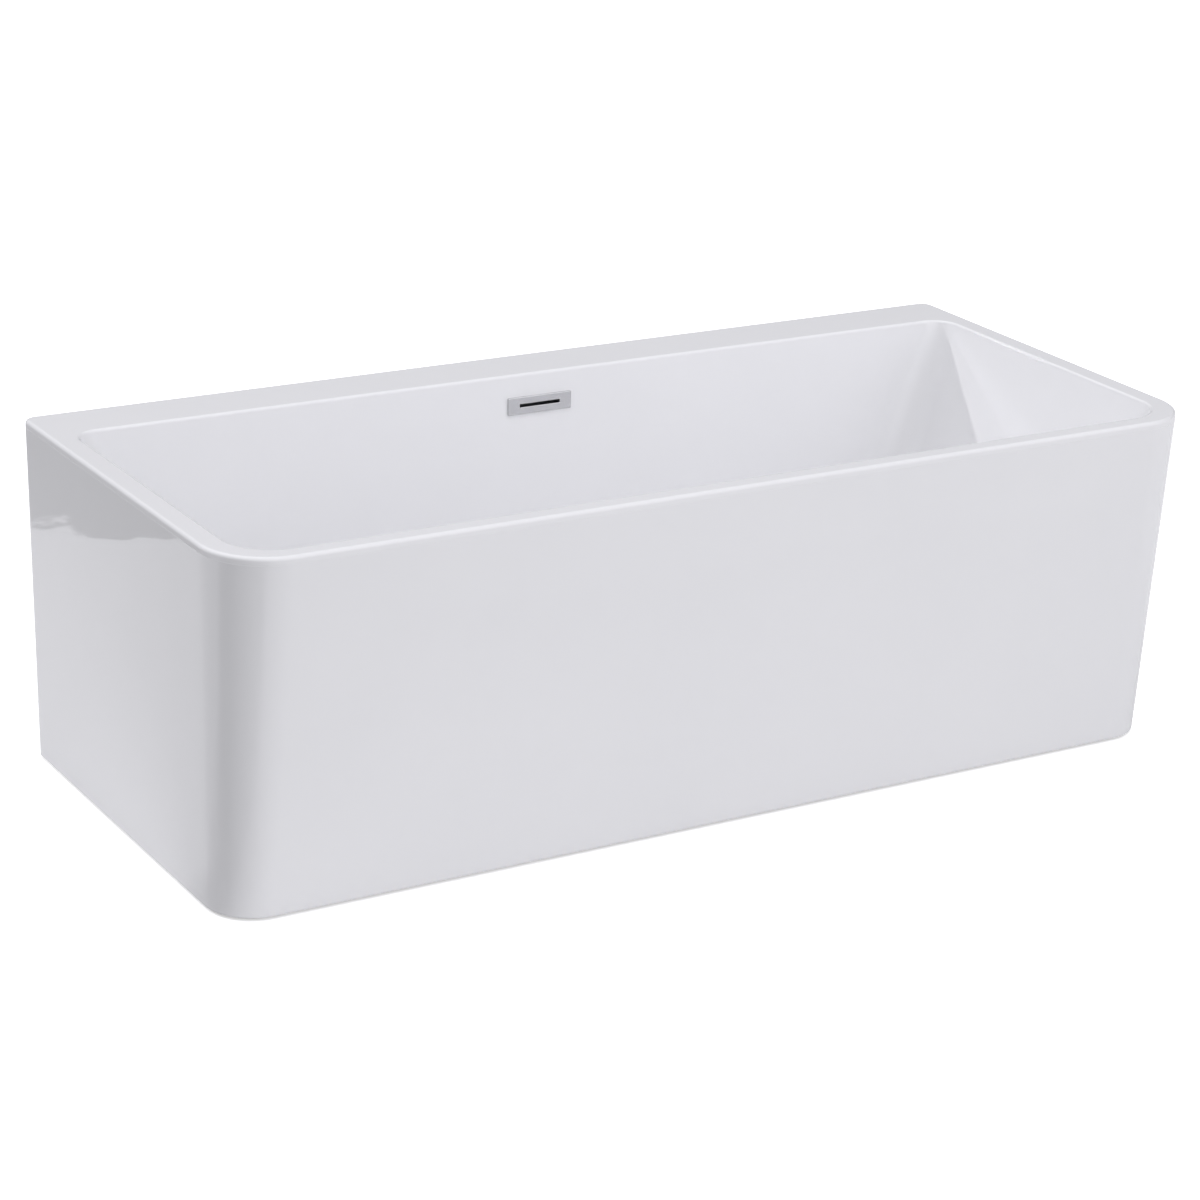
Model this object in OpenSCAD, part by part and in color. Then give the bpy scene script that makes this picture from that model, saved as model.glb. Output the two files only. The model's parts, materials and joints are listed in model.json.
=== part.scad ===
// Back-to-wall acrylic bathtub: a thermoformed basin bonded to an outer skirt, standing on a
// bolted steel frame with six screw feet, with a slotted overflow and a push-to-open waste.
// +X runs along the bath, +Y points to the wall, +Z is up. The origin is on the floor, at the
// middle of the bath's plan.

/* [Body] */
// Overall length
bath_length = 1700; // [1500:10:1800]
// Overall width, from the front to the wall
bath_width = 750; // [720:10:800]
// Height of the rim above the floor
rim_z = 560; // [540:5:620]
// Plan radius of the two front corners at the rim
front_corner_r = 100; // [70:5:120]
// Plan radius of the two wall-side corners
back_corner_r = 20; // [12:2:30]
// How far the foot of each end stands in from the rim
end_taper = 12; // [0:1:30]
// How far the foot of the front stands in from the rim
front_taper = 37; // [0:1:50]
// Thickness of the skirt
skirt_t = 5; // [4:1:6]
// Gap between the skirt and the floor
floor_gap = 5; // [5:1:10]

/* [Basin] */
// Width of the rim along the two ends
end_rim_w = 32; // [28:1:60]
// Width of the rim along the front
front_rim_w = 28; // [26:1:50]
// Width of the deck along the wall
deck_w = 100; // [90:2:120]
// Height of the basin floor at its edge
floor_z = 116; // [112:2:130]
// Fall of the basin floor from its edge to the waste
floor_fall = 4; // [2:1:5]
// Thickness of the basin's reinforced acrylic wall
shell_t = 6; // [5:1:7]
// How far each backrest leans in from the rim to the floor
backrest_run = 190; // [140:5:230]
// How far each long wall leans in from the rim to the floor
long_wall_run = 26; // [15:1:40]

/* [Fittings] */
// Width of the overflow cover
overflow_w = 118; // [110:2:130]
// Height of the overflow cover
overflow_h = 29; // [28:1:36]
// Height of the overflow's centre above the floor
overflow_z = 508; // [490:1:510]
// Width of the overflow's slot
slot_w = 76; // [60:2:84]
// Height of the overflow's slot
slot_h = 7; // [5:0.5:8]
// Outside diameter of each foot pad
pad_d = 50; // [40:2:60]

/* [Hidden] */

$fn = 48;
// Overlap that lets a cut break through a face
cut = 1;

// Steps in each plan corner, in the basin's foot fillet and in the rim's two edge fillets
corner_steps = 8;
fillet_steps = 6;
edge_steps = 3;
wall_steps = 4;

half_x = bath_length / 2;
half_y = bath_width / 2;

// Rim: edge radii, thickness and down-turned lip
rim_edge_r = 6;
basin_edge_r = 5;
lip_h = 12;
rim_under_z = rim_z - shell_t;
lip_z = rim_z - lip_h;

// Plan radii of the basin's wall at the rim and at the floor
basin_front_r = 73;
basin_back_r = 40;
floor_front_r = 115;
floor_back_r = 100;
foot_fillet = 60;

// Where the basin's wall meets the plane of the rim
wall_x = half_x - end_rim_w - basin_edge_r;
wall_front_y = -half_y + front_rim_w + basin_edge_r;
wall_back_y = half_y - deck_w - basin_edge_r;
basin_depth = rim_z - floor_z;
waste_z = floor_z - floor_fall;
under_z = waste_z - shell_t;
basin_mid_y = (wall_front_y + wall_back_y) / 2;

// Skirt: the joggle that locates its bonding flange behind the rim's lip
joggle_h = 8;
flange_w = 20;
back_return_w = 80;
back_strip_h = 30;

// Board under the basin, and the frame of square tube under the board
board_t = 12;
board_half_x = 540;
board_half_y = 200;
board_hole_r = 42;
tube = 30;
tube_t = 2;
rail_top_z = under_z - board_t;
rail_z = rail_top_z - tube;
rail_half_x = 790;
front_rail_y = basin_mid_y - 172;
back_rail_y = basin_mid_y + 186;
end_cross_x = 705;
middle_cross_x = 250;
cross_x = [-end_cross_x, -middle_cross_x, middle_cross_x, end_cross_x];
cross_mid_y = (front_rail_y + back_rail_y) / 2;

// M8 frame bolts, screws into boards and battens
bolt_r = 4;
bolt_hole_r = 4.2;
bolt_head_r = 7.5;
bolt_head_h = 5.3;
nut_plate_t = 8;
screw_r = 2.1;
pilot_r = 2.15;
screw_head_r = 4.5;
screw_head_h = 3;
board_screw_x = [-450, -120, 120, 450];

// Battens bonded inside the skirt's foot, and the flat brackets that tie them to the rails
batten_t = 18;
batten_h = 40;
glue_gap = 1;
bracket_t = 3;
bracket_w = 40;
bracket_z = rail_z - bracket_t;
batten_z = bracket_z - batten_h;
front_bracket_x = [-560, 0, 560];

// Feet: M12 studs in nuts under the rails
stud_r = 6;
stud_bore_r = 6.06;
stud_hole_r = 6.6;
stud_top_clear = 6;
weld_nut_h = 10;
lock_nut_h = 7;
nut_r = 10.5;
pad_h = 8;
pad_boss_r = 12;
pad_boss_h = 16;
pad_seat_z = 4;
corner_foot_x = 640;
foot_at = [[-corner_foot_x, front_rail_y], [corner_foot_x, front_rail_y],
    [-corner_foot_x, back_rail_y], [corner_foot_x, back_rail_y],
    [-middle_cross_x, cross_mid_y], [middle_cross_x, cross_mid_y]];

// Overflow: it lies square to the leaning wall, so its own frame is tilted with the wall
wall_tilt = atan(long_wall_run / basin_depth);
overflow_y = wall_back_y - (rim_z - overflow_z) * tan(wall_tilt);
cover_t = 4;
cover_pocket = 2.6;
overflow_hole_w = 90;
overflow_hole_h = 14;
gasket_t = 2;
chamber_w = 112;
chamber_h = 32;
chamber_d = 36;
chamber_wall = 3;
overflow_screw_x = 51;

// Overflow pipe: straight down behind the basin, then forward under the back rail
pipe_r = 10;
pipe_bore_r = 8.5;
pipe_y = 296;
pipe_z = 50;
pipe_bend_r = 40;
pipe_top_z = 484;
spigot_r = 13.5;
spigot_bore_r = 10.1;
spigot_z = 462;
pipe_nut_r = 18;
pipe_nut_l = 16;

// Waste, centred on the origin
waste_r = 23.4;
waste_bore_r = 20;
waste_hole_r = 24.6;
waste_seat_depth = 2;
seat_z = waste_z - waste_seat_depth;
flange_r = 35;
flange_t = 3;
flange_seal_t = 1;
flange_top_z = seat_z + flange_seal_t + flange_t;
flange_foot_z = 76;
floor_seal_t = 3;
body_top_z = under_z - floor_seal_t;
body_r = 29;
tail_z = 17;
tail_r = 23.9;
tail_l = 18;
tail_top_z = 37;
port_end_y = 52;
pipe_end_y = 36;
plug_r = 31;
plug_t = 4;
plug_seal_r = 28;
plug_seal_t = 1;
plug_stem_r = 5;
stem_foot_z = 88;
cartridge_bore_r = 5.06;
cartridge_r = 9;
cartridge_z = 78;
cartridge_top_z = 104;

acrylic = [0.93, 0.93, 0.95];
steel = [0.66, 0.68, 0.7];
chrome = [0.75, 0.76, 0.78];
timber = [0.78, 0.66, 0.48];
board = [0.68, 0.6, 0.48];
black = [0.13, 0.13, 0.14];
grey = [0.55, 0.56, 0.58];

// ---- Rings: every shell is a stack of outlines with the same number of points ----

function corner_arc(x, y, r, start) =
    [for (i = [0:corner_steps]) let (a = start + 90 * i / corner_steps)
        [x + r * cos(a), y + r * sin(a)]];

// Rectangle with round corners, symmetric in X, anticlockwise from its front right corner
function outline(x, y0, y1, front_r, back_r) = concat(
    corner_arc(x - front_r, y0 + front_r, front_r, -90),
    corner_arc(x - back_r, y1 - back_r, back_r, 0),
    corner_arc(-x + back_r, y1 - back_r, back_r, 90),
    corner_arc(-x + front_r, y0 + front_r, front_r, 180));

function at_height(points, z) = [for (p = points) [p[0], p[1], z]];

function least_r(r) = max(r, 2);

// The skirt's outline at a height, moved in by an inset; it tapers only below the rim's lip
function skirt_ring(inset, z) = let (drop = max(0, 1 - z / lip_z))
    at_height(outline(half_x - end_taper * drop - inset,
        -half_y + front_taper * drop + inset, half_y - inset,
        least_r(front_corner_r - 25 * drop - inset), least_r(back_corner_r - inset)), z);

// The basin's wall outline at a height, moved in by an inset, drawn at height draw_z
function basin_ring(inset, z, draw_z) = let (drop = (rim_z - z) / basin_depth)
    at_height(outline(wall_x - backrest_run * drop - inset,
        wall_front_y + long_wall_run * drop + inset,
        wall_back_y - long_wall_run * drop - inset,
        least_r(basin_front_r + (floor_front_r - basin_front_r) * drop - inset),
        least_r(basin_back_r + (floor_back_r - basin_back_r) * drop - inset)), draw_z);

function flatten(rings) = [for (r = rings) for (p = r) p];

// Faces between neighbouring rings, with count points each
function side_faces(rings, count, closed) = [
    for (k = [0:rings - (closed ? 1 : 2)]) for (i = [0:count - 1])
        let (a = k * count, b = ((k + 1) % rings) * count, j = (i + 1) % count)
            for (face = [[a + i, a + j, b + j], [a + i, b + j, b + i]]) face];

// Solid inside a closed loop of rings, such as the skirt
module ring_loop(rings) {
    polyhedron(flatten(rings), side_faces(len(rings), len(rings[0]), true));
}

// Solid inside a stack of rings whose first and last rings close on a point each
module ring_stack(rings, first_point, last_point) {
    count = len(rings[0]);
    top = len(rings) * count;
    last = (len(rings) - 1) * count;
    first_fan = [for (i = [0:count - 1]) [top, (i + 1) % count, i]];
    last_fan = [for (i = [0:count - 1]) [top + 1, last + i, last + (i + 1) % count]];
    polyhedron(concat(flatten(rings), [first_point, last_point]),
        concat(first_fan, side_faces(len(rings), count, false), last_fan));
}

// ---- Shells ----

// Foot fillet seen from inside the basin, from the floor up to the wall
function inner_fillet() = [for (i = [fillet_steps:-1:0])
    let (a = 90 * i / fillet_steps, z = floor_z + foot_fillet * (1 - sin(a)))
        basin_ring(foot_fillet * (1 - cos(a)), z, z)];

// The same fillet on the underside, from the wall down to the flat underside
function outer_fillet() = [for (i = [0:fillet_steps])
    let (a = 90 * i / fillet_steps, z = floor_z + foot_fillet * (1 - sin(a)))
        basin_ring(foot_fillet * (1 - cos(a)) - shell_t * cos(a), z,
            z - (floor_z - under_z) * sin(a))];

// Heights of the wall's rings, from the fillet up to a top height
function wall_heights(top_z) = let (foot = floor_z + foot_fillet)
    [for (i = [1:wall_steps]) foot + (top_z - foot) * i / wall_steps];

function reversed(list) = [for (i = [len(list) - 1:-1:0]) list[i]];

module inner_shell() {
    wall_top_z = rim_z - basin_edge_r;
    rings = concat(
        inner_fillet(),
        [for (z = wall_heights(wall_top_z)) basin_ring(0, z, z)],
        [for (i = [1:edge_steps]) let (a = 90 * i / edge_steps)
            basin_ring(-basin_edge_r * (1 - cos(a)), wall_top_z,
                wall_top_z + basin_edge_r * sin(a))],
        [for (i = [edge_steps:-1:0]) let (a = 90 * i / edge_steps)
            skirt_ring(rim_edge_r * (1 - cos(a)), rim_z - rim_edge_r * (1 - sin(a)))],
        [skirt_ring(0, lip_z), skirt_ring(rim_edge_r, lip_z), skirt_ring(rim_edge_r, rim_under_z)],
        [for (z = reversed(wall_heights(rim_under_z))) basin_ring(-shell_t, z, z)],
        outer_fillet());
    color(acrylic)
    difference() {
        ring_stack(rings, [0, 0, waste_z], [0, 0, under_z]);
        translate([0, 0, under_z - cut]) cylinder(r = waste_hole_r, h = 20);
        translate([0, 0, seat_z]) cylinder(r = flange_r + 1, h = 20);
        at_overflow() {
            translate([-overflow_hole_w / 2, -shell_t, -overflow_hole_h / 2])
                cube([overflow_hole_w, 3 * shell_t, overflow_hole_h]);
            for (x = [-overflow_screw_x, overflow_screw_x])
                along_y(x, -shell_t, 0) cylinder(r = 2.7, h = 3 * shell_t);
        }
    }
}

module outer_skirt() {
    profile = [[skirt_t, floor_gap],
        [skirt_t, lip_z - joggle_h - rim_edge_r],
        [rim_edge_r + skirt_t, lip_z - joggle_h],
        [rim_edge_r + skirt_t, rim_under_z - skirt_t],
        [rim_edge_r + flange_w, rim_under_z - skirt_t],
        [rim_edge_r + flange_w, rim_under_z],
        [rim_edge_r, rim_under_z], [rim_edge_r, lip_z], [0, lip_z], [0, floor_gap]];
    color(acrylic)
    difference() {
        ring_loop([for (p = profile) skirt_ring(p[0], p[1])]);
        translate([-half_x + back_return_w, half_y - 50, -cut])
            cube([bath_length - 2 * back_return_w, 100, lip_z - back_strip_h + cut]);
    }
}

module deck_board() {
    board_y = wall_back_y + shell_t + 9;
    color(board)
    translate([-740, board_y, rim_under_z - board_t])
        cube([1480, half_y - rim_edge_r - flange_w - 2 - board_y, board_t]);
}

module base_board() {
    color(board)
    difference() {
        translate([-board_half_x, basin_mid_y - board_half_y, rail_top_z])
            cube([2 * board_half_x, 2 * board_half_y, board_t]);
        translate([0, 0, rail_top_z - cut]) cylinder(r = board_hole_r, h = board_t + 2 * cut);
        at_board_screws() cylinder(r = pilot_r, h = under_z - rail_z - 3);
    }
}

// ---- Frame ----

// Square tube along X, centred on X and Y, standing on z = 0
module tube_x(length) {
    difference() {
        translate([-length / 2, -tube / 2, 0]) cube([length, tube, tube]);
        translate([-length / 2 - cut, -tube / 2 + tube_t, tube_t])
            cube([length + 2 * cut, tube - 2 * tube_t, tube - 2 * tube_t]);
    }
}

// Places a cylinder's axis along +Y from a point
module along_y(x, y, z) {
    translate([x, y, z]) rotate([-90, 0, 0]) children();
}

// Places a cylinder's axis along -Y from a point
module against_y(x, y, z) {
    translate([x, y, z]) rotate([90, 0, 0]) children();
}

module at_feet(list) {
    for (p = list) translate([p[0], p[1], 0]) children();
}

module at_board_screws() {
    for (x = board_screw_x) for (y = [front_rail_y, back_rail_y])
        translate([x, y, rail_z]) children();
}

module long_rail(y, bracket_x) {
    color(steel)
    difference() {
        translate([0, y, rail_z]) tube_x(2 * rail_half_x);
        for (p = foot_at) if (p[1] == y)
            translate([p[0], y, rail_z - cut]) cylinder(r = stud_hole_r, h = tube + 2 * cut);
        for (x = cross_x)
            along_y(x, y - tube, rail_z + tube / 2) cylinder(r = bolt_hole_r, h = 2 * tube);
        for (x = board_screw_x)
            translate([x, y, rail_z - cut]) cylinder(r = 2.4, h = tube + 2 * cut);
        for (x = bracket_x)
            translate([x, y, rail_z - cut]) cylinder(r = pilot_r, h = tube_t + 2 * cut);
    }
}

end_screw_x = rail_half_x - 25;

module front_rail() long_rail(front_rail_y, concat([-end_screw_x, end_screw_x], front_bracket_x));
module back_rail() long_rail(back_rail_y, [-end_screw_x, end_screw_x]);

module cross_rail(x) {
    length = back_rail_y - front_rail_y - tube;
    color(steel)
    difference() {
        translate([x, cross_mid_y, rail_z]) rotate([0, 0, 90]) tube_x(length);
        if (abs(x) == middle_cross_x)
            translate([x, cross_mid_y, rail_z - cut])
                cylinder(r = stud_hole_r, h = tube + 2 * cut);
    }
}

module left_end_cross_rail() cross_rail(-end_cross_x);
module left_middle_cross_rail() cross_rail(-middle_cross_x);
module right_middle_cross_rail() cross_rail(middle_cross_x);
module right_end_cross_rail() cross_rail(end_cross_x);

// Hexagon-headed bolt, its head's face on z = 0 and its shank along +Z
module bolt(length) {
    translate([0, 0, -bolt_head_h]) cylinder(r = bolt_head_r, h = bolt_head_h, $fn = 6);
    cylinder(r = bolt_r, h = length);
}

module frame_bolts() {
    z = rail_z + tube / 2;
    color(steel)
    for (x = cross_x) {
        along_y(x, front_rail_y - tube / 2, z) bolt(45);
        against_y(x, back_rail_y + tube / 2, z) bolt(45);
    }
}

// Tapped plates welded inside the ends of the cross rails
module frame_nut_plates() {
    side = tube - 2 * tube_t;
    z = rail_z + tube_t;
    color(steel)
    for (x = cross_x) for (y = [front_rail_y + tube / 2, back_rail_y - tube / 2 - nut_plate_t])
        difference() {
            translate([x - side / 2, y, z]) cube([side, nut_plate_t, side]);
            along_y(x, y - cut, rail_z + tube / 2) cylinder(r = bolt_r + 0.05, h = 10);
        }
}

module rail_caps() {
    inside = tube - 2 * tube_t;
    color(black)
    for (side = [-1, 1]) for (y = [front_rail_y, back_rail_y])
        translate([side * rail_half_x, y, rail_z + tube / 2])
            rotate([0, side * 90, 0]) {
                translate([-tube / 2, -tube / 2, 0]) cube([tube, tube, 3]);
                translate([-inside / 2, -inside / 2, -14]) cube([inside, inside, 15]);
            }
}

// Screw that points up, its head's top face on z = 0
module screw_up(length) {
    translate([0, 0, -screw_head_h]) cylinder(r = screw_head_r, h = screw_head_h);
    cylinder(r = screw_r, h = length);
}

module board_screws() {
    color(steel) at_board_screws() screw_up(tube + board_t - 4);
}

// ---- Battens and brackets inside the skirt's foot ----

batten_front_y = -half_y + front_taper + skirt_t + glue_gap;
batten_end_x = half_x - end_taper - skirt_t - glue_gap;

module front_batten() {
    color(timber)
    difference() {
        translate([-720, batten_front_y, batten_z]) cube([1440, batten_t, batten_h]);
        for (x = front_bracket_x)
            translate([x, batten_front_y + batten_t / 2, bracket_z - 25]) pilot_hole();
    }
}

module pilot_hole() {
    cylinder(r = pilot_r, h = 25 + cut);
}

module end_batten(side) {
    x = side * (batten_end_x - batten_t / 2);
    color(timber)
    difference() {
        translate([x - batten_t / 2, -220, batten_z]) cube([batten_t, 540, batten_h]);
        for (y = [front_rail_y, back_rail_y]) translate([x, y, bracket_z - 25]) pilot_hole();
    }
}

module left_batten() end_batten(-1);
module right_batten() end_batten(1);

module bracket_holes(points) {
    difference() {
        children();
        for (p = points)
            translate([p[0], p[1], bracket_z - cut]) cylinder(r = 2.4, h = bracket_t + 2 * cut);
    }
}

module skirt_brackets() {
    front_reach = front_rail_y + tube / 2 - batten_front_y;
    end_start = rail_half_x - 45;
    color(steel) {
        for (x = front_bracket_x)
            bracket_holes([[x, batten_front_y + batten_t / 2], [x, front_rail_y]])
                translate([x - bracket_w / 2, batten_front_y, bracket_z])
                    cube([bracket_w, front_reach, bracket_t]);
        for (side = [-1, 1]) for (y = [front_rail_y, back_rail_y])
            bracket_holes([[side * end_screw_x, y], [side * (batten_end_x - batten_t / 2), y]])
                translate([side > 0 ? end_start : -batten_end_x, y - bracket_w / 2, bracket_z])
                    cube([batten_end_x - end_start, bracket_w, bracket_t]);
    }
}

module screw_down(length) {
    cylinder(r = screw_head_r, h = screw_head_h);
    translate([0, 0, -length]) cylinder(r = screw_r, h = length);
}

module bracket_screws() {
    color(steel) {
        for (x = front_bracket_x) {
            translate([x, batten_front_y + batten_t / 2, rail_z]) screw_down(24);
            translate([x, front_rail_y, bracket_z]) screw_up(9);
        }
        for (x = [-end_screw_x, end_screw_x]) for (y = [front_rail_y, back_rail_y])
            translate([x, y, bracket_z]) screw_up(9);
        for (side = [-1, 1]) for (y = [front_rail_y, back_rail_y])
            translate([side * (batten_end_x - batten_t / 2), y, rail_z]) screw_down(24);
    }
}

// ---- Feet ----

module foot_nut(z, height) {
    difference() {
        translate([0, 0, z]) cylinder(r = nut_r, h = height, $fn = 6);
        translate([0, 0, z - cut]) cylinder(r = stud_bore_r, h = height + 2 * cut);
    }
}

module foot_weld_nuts() {
    color(steel) at_feet(foot_at) foot_nut(rail_z - weld_nut_h, weld_nut_h);
}

module foot_lock_nuts() {
    color(steel) at_feet(foot_at) foot_nut(rail_z - weld_nut_h - lock_nut_h - 0.5, lock_nut_h);
}

module foot_pad(index) {
    color(black)
    at_feet([foot_at[index]])
    difference() {
        union() {
            cylinder(r = pad_d / 2, h = pad_h);
            cylinder(r = pad_boss_r, h = pad_boss_h);
        }
        translate([0, 0, pad_seat_z]) cylinder(r = stud_bore_r, h = pad_boss_h);
    }
}

// Stud with a spanner hexagon just above the pad
module foot_stud(index) {
    color(steel)
    at_feet([foot_at[index]]) {
        translate([0, 0, pad_seat_z])
            cylinder(r = stud_r, h = rail_top_z - stud_top_clear - pad_seat_z);
        translate([0, 0, pad_boss_h + 1]) cylinder(r = 9, h = 8, $fn = 6);
    }
}

module front_left_foot_pad() foot_pad(0);
module front_right_foot_pad() foot_pad(1);
module back_left_foot_pad() foot_pad(2);
module back_right_foot_pad() foot_pad(3);
module middle_left_foot_pad() foot_pad(4);
module middle_right_foot_pad() foot_pad(5);
module front_left_foot_stud() foot_stud(0);
module front_right_foot_stud() foot_stud(1);
module back_left_foot_stud() foot_stud(2);
module back_right_foot_stud() foot_stud(3);
module middle_left_foot_stud() foot_stud(4);
module middle_right_foot_stud() foot_stud(5);

// ---- Overflow ----

// Frame on the basin's wall: y = 0 is the wall's face, +Y goes into the wall
module at_overflow() {
    translate([0, overflow_y, overflow_z]) rotate([-wall_tilt, 0, 0]) children();
}

// Block centred on x and z, from y0 with a depth
module block_xz(width, height, y0, depth) {
    translate([-width / 2, y0, -height / 2]) cube([width, depth, height]);
}

module overflow_cover() {
    edge = 1.5;
    color(chrome)
    at_overflow()
    difference() {
        block_xz(overflow_w, overflow_h, -cover_t, cover_t);
        block_xz(overflow_w - 2 * edge, overflow_h - 2 * edge, -cover_pocket, cover_t);
        block_xz(slot_w, slot_h, -cover_t - cut, 2 * cover_t);
    }
}

module overflow_gasket() {
    color(black)
    at_overflow()
    difference() {
        block_xz(chamber_w, chamber_h, shell_t, gasket_t);
        block_xz(overflow_hole_w, overflow_hole_h, shell_t - cut, gasket_t + 2 * cut);
        for (x = [-overflow_screw_x, overflow_screw_x])
            along_y(x, shell_t - cut, 0) cylinder(r = 2.7, h = gasket_t + 2 * cut);
    }
}

module overflow_chamber() {
    y0 = shell_t + gasket_t;
    inner_w = overflow_hole_w;
    color(grey)
    difference() {
        union() {
            at_overflow() block_xz(chamber_w, chamber_h, y0, chamber_d);
            translate([0, pipe_y, spigot_z]) cylinder(r = spigot_r, h = 32);
        }
        at_overflow() block_xz(inner_w, chamber_h - 2 * chamber_wall, y0 - cut,
            chamber_d - chamber_wall + cut);
        at_overflow()
            for (x = [-overflow_screw_x, overflow_screw_x])
                along_y(x, y0 - cut, 0) cylinder(r = 2.3, h = 18);
        translate([0, pipe_y, spigot_z - cut]) cylinder(r = spigot_bore_r, h = 40);
    }
}

module overflow_screws() {
    color(steel)
    at_overflow()
    for (x = [-overflow_screw_x, overflow_screw_x]) {
        along_y(x, -2, 0) cylinder(r = 4.2, h = 2);
        along_y(x, -1, 0) cylinder(r = 2.25, h = 22);
    }
}

// Tube along +Z
module pipe_length(outer_r, inner_r, length) {
    difference() {
        cylinder(r = outer_r, h = length);
        translate([0, 0, -cut]) cylinder(r = inner_r, h = length + 2 * cut);
    }
}

module overflow_pipe() {
    bend_y = pipe_y - pipe_bend_r;
    bend_z = pipe_z + pipe_bend_r;
    color(grey) {
        translate([0, pipe_y, bend_z]) pipe_length(pipe_r, pipe_bore_r, pipe_top_z - bend_z);
        along_y(0, pipe_end_y, pipe_z) pipe_length(pipe_r, pipe_bore_r, bend_y - pipe_end_y);
        translate([0, bend_y, bend_z]) rotate([0, 90, 0])
            rotate_extrude(angle = 90)
                translate([pipe_bend_r, 0])
                    difference() {
                        circle(r = pipe_r);
                        circle(r = pipe_bore_r);
                    }
    }
}

module overflow_pipe_nuts() {
    color(grey) {
        translate([0, pipe_y, spigot_z - 4]) ring_nut();
        along_y(0, port_end_y + 4 - pipe_nut_l, pipe_z) ring_nut_forward();
    }
}

// Union nut that grips a spigot above and the pipe below
module ring_nut() {
    difference() {
        cylinder(r = pipe_nut_r, h = pipe_nut_l);
        translate([0, 0, 4]) cylinder(r = spigot_r + 0.1, h = pipe_nut_l);
        translate([0, 0, -cut]) cylinder(r = pipe_r + 0.1, h = pipe_nut_l);
    }
}

// The same nut, turned round for the port that faces the wall
module ring_nut_forward() {
    translate([0, 0, pipe_nut_l]) rotate([180, 0, 0]) ring_nut();
}

// ---- Waste ----

module waste_flange() {
    disc_z = seat_z + flange_seal_t;
    color(chrome)
    difference() {
        union() {
            translate([0, 0, disc_z]) cylinder(r = flange_r, h = flange_t);
            translate([0, 0, flange_foot_z]) cylinder(r = waste_r, h = disc_z - flange_foot_z + 1);
        }
        translate([0, 0, flange_foot_z - cut]) cylinder(r = waste_bore_r, h = 60);
    }
}

module waste_ring(z, outer_r, height) {
    difference() {
        translate([0, 0, z]) cylinder(r = outer_r, h = height);
        translate([0, 0, z - cut]) cylinder(r = waste_r + 0.3, h = height + 2 * cut);
    }
}

module waste_flange_seal() {
    color(black) waste_ring(seat_z, flange_r - 1, flange_seal_t);
}

module waste_floor_seal() {
    color(black) waste_ring(body_top_z, 37, floor_seal_t);
}

module waste_body() {
    color(grey)
    difference() {
        union() {
            translate([0, 0, body_top_z - 4]) cylinder(r = 38, h = 4);
            translate([0, 0, tail_top_z]) cylinder(r = body_r, h = body_top_z - tail_top_z - 2);
            translate([0, 0, tail_z]) cylinder(r = tail_r, h = tail_l);
            translate([0, 0, tail_z + tail_l - 1]) cylinder(r = tail_r - 1, h = 10);
            along_y(0, 5, pipe_z) cylinder(r = spigot_r, h = port_end_y - 5);
        }
        translate([0, 0, flange_foot_z]) cylinder(r = waste_r + 0.1, h = 40);
        translate([0, 0, tail_z - cut]) cylinder(r = waste_bore_r, h = 80);
        along_y(0, 0, pipe_z) cylinder(r = spigot_bore_r, h = port_end_y + cut);
    }
}

// Guide for the plug's stem, held in the flange's bore by three spokes
module plug_cartridge() {
    color(chrome)
    difference() {
        union() {
            translate([0, 0, cartridge_z]) cylinder(r = cartridge_r, h = cartridge_top_z - cartridge_z);
            for (a = [0, 120, 240])
                rotate([0, 0, a]) translate([6, -1.5, 90]) cube([waste_bore_r - 6.2, 3, 8]);
        }
        translate([0, 0, cartridge_z + 4])
            cylinder(r = cartridge_bore_r, h = cartridge_top_z - cartridge_z);
    }
}

plug_z = flange_top_z + plug_seal_t;

module plug_stem() {
    color(chrome)
    translate([0, 0, stem_foot_z]) cylinder(r = plug_stem_r, h = plug_z - stem_foot_z);
}

module plug_cap() {
    color(chrome) {
        translate([0, 0, plug_z]) cylinder(r = plug_r, h = plug_t - 1.5);
        translate([0, 0, plug_z + plug_t - 1.5]) cylinder(r1 = plug_r, r2 = plug_r - 2.5, h = 1.5);
    }
}

module plug_seal() {
    color(black)
    translate([0, 0, flange_top_z])
    difference() {
        cylinder(r = plug_seal_r, h = plug_seal_t);
        translate([0, 0, -cut]) cylinder(r = waste_bore_r + 1.5, h = plug_seal_t + 2 * cut);
    }
}

inner_shell();
outer_skirt();
deck_board();
base_board();
front_rail();
back_rail();
left_end_cross_rail();
left_middle_cross_rail();
right_middle_cross_rail();
right_end_cross_rail();
frame_bolts();
frame_nut_plates();
rail_caps();
board_screws();
front_batten();
left_batten();
right_batten();
skirt_brackets();
bracket_screws();
foot_weld_nuts();
foot_lock_nuts();
front_left_foot_pad();
front_right_foot_pad();
back_left_foot_pad();
back_right_foot_pad();
middle_left_foot_pad();
middle_right_foot_pad();
front_left_foot_stud();
front_right_foot_stud();
back_left_foot_stud();
back_right_foot_stud();
middle_left_foot_stud();
middle_right_foot_stud();
overflow_cover();
overflow_gasket();
overflow_chamber();
overflow_screws();
overflow_pipe();
overflow_pipe_nuts();
waste_flange();
waste_flange_seal();
waste_floor_seal();
waste_body();
plug_cartridge();
plug_stem();
plug_cap();
plug_seal();
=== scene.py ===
"""Looks of a back-to-wall acrylic bath: fine shells over the CAD frame, procedural materials, studio.

Lengths are millimetres in the shape code and become metres in build(). +X runs along the bath,
+Y points to the wall and +Z is up, with the origin on the floor in the middle of the plan.
"""
import json
import math

import bmesh
import bpy
from mathutils import Matrix, Vector


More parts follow.
